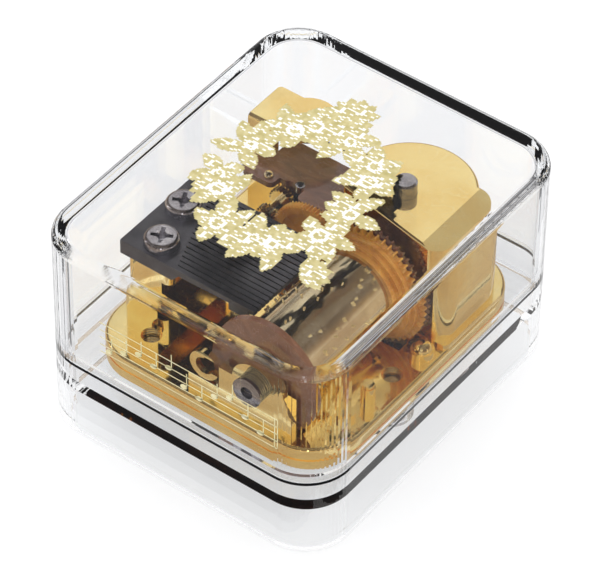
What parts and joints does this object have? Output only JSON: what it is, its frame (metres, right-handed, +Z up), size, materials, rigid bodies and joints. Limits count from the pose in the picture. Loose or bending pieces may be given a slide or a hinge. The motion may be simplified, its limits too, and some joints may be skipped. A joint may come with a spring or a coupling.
{
  "type": "wind-up music box in a clear case",
  "caption": "Wind-up comb music box movement in a rounded clear acrylic case with a lift-off lid and a winding key recessed underneath.",
  "frame": {"origin": "centre of the bounding box at the resting face of the case", "axes": "+X along the comb teeth from the screwed end to the tips, +Y along the note cylinder from the hollow bearing screw towards the spring housing, +Z up through the lid"},
  "size_m": [0.052, 0.062, 0.0365],
  "materials": {
    "clear_acrylic": "clear, polished",
    "gold_plated_zinc": "mirror polished gold plating",
    "comb_steel": "ground, blackened",
    "bright_steel": "polished",
    "spring_steel": "rolled strip",
    "cylinder_brass": "turned and plated",
    "amber_plastic": "moulded, translucent",
    "brown_plastic": "moulded, translucent",
    "black_steel": "blackened",
    "lead_alloy": "dull"
  },
  "bodies": {
    "base": {"case_base": "clear_acrylic", "base_screws": "bright_steel", "bed_plate": "gold_plated_zinc", "comb": "comb_steel", "comb_screws": "bright_steel", "comb_weights": "lead_alloy", "bearing_screw": "bright_steel", "bearing_clip": "gold_plated_zinc", "spring_housing": "gold_plated_zinc", "mainspring": "spring_steel", "governor_pin": "bright_steel", "worm_wheel_pin": "bright_steel", "governor_frame": "brown_plastic", "worm_bushing": "bright_steel", "frame_rivet": "cylinder_brass", "governor_bracket": "gold_plated_zinc", "bracket_screw": "gold_plated_zinc"},
    "lid": {"case_lid": "clear_acrylic"},
    "note_cylinder": {"cylinder_tube": "cylinder_brass", "cylinder_gear": "amber_plastic", "cylinder_drive_gear": "brown_plastic", "cylinder_end_cap": "brown_plastic", "cylinder_arbor": "bright_steel"},
    "winder": {"winding_arbor": "bright_steel", "drive_gear": "brown_plastic", "clutch_spring": "spring_steel", "winding_key": "gold_plated_zinc"},
    "first_wheel": {"governor_wheel": "amber_plastic"},
    "second_wheel": {"worm_wheel": "cylinder_brass"},
    "worm_and_fan": {"worm": "black_steel", "fan": "brown_plastic"}
  },
  "joints": [
    {"name": "lid_lift", "type": "slide", "parent": "base", "child": "lid", "axis": [0, 0, 1], "range_m": [0, 0.04]},
    {"name": "cylinder_spin", "type": "hinge", "parent": "base", "child": "note_cylinder", "pos_m": [0.0095, 0, 0.0217], "axis": [0, 1, 0], "continuous": true},
    {"name": "winder_spin", "type": "hinge", "parent": "base", "child": "winder", "pos_m": [0.0095, 0.01221, 0.014], "axis": [0, 0, 1], "continuous": true},
    {"name": "first_wheel_spin", "type": "hinge", "parent": "base", "child": "first_wheel", "pos_m": [-0.00237, 0.005, 0.0192], "axis": [0, 1, 0], "continuous": true},
    {"name": "second_wheel_spin", "type": "hinge", "parent": "base", "child": "second_wheel", "pos_m": [-0.0109, 0.008, 0.02032], "axis": [0, 1, 0], "continuous": true},
    {"name": "worm_spin", "type": "hinge", "parent": "base", "child": "worm_and_fan", "pos_m": [-0.0078, 0.0098, 0.02], "axis": [0, 0, 1], "continuous": true}
  ],
  "couplings": [
    {"joint": "winder_spin", "follows": "cylinder_spin", "ratio": -1.1064},
    {"joint": "first_wheel_spin", "follows": "cylinder_spin", "ratio": -3},
    {"joint": "second_wheel_spin", "follows": "cylinder_spin", "ratio": 13.125},
    {"joint": "worm_spin", "follows": "cylinder_spin", "ratio": 144.38}
  ]
}
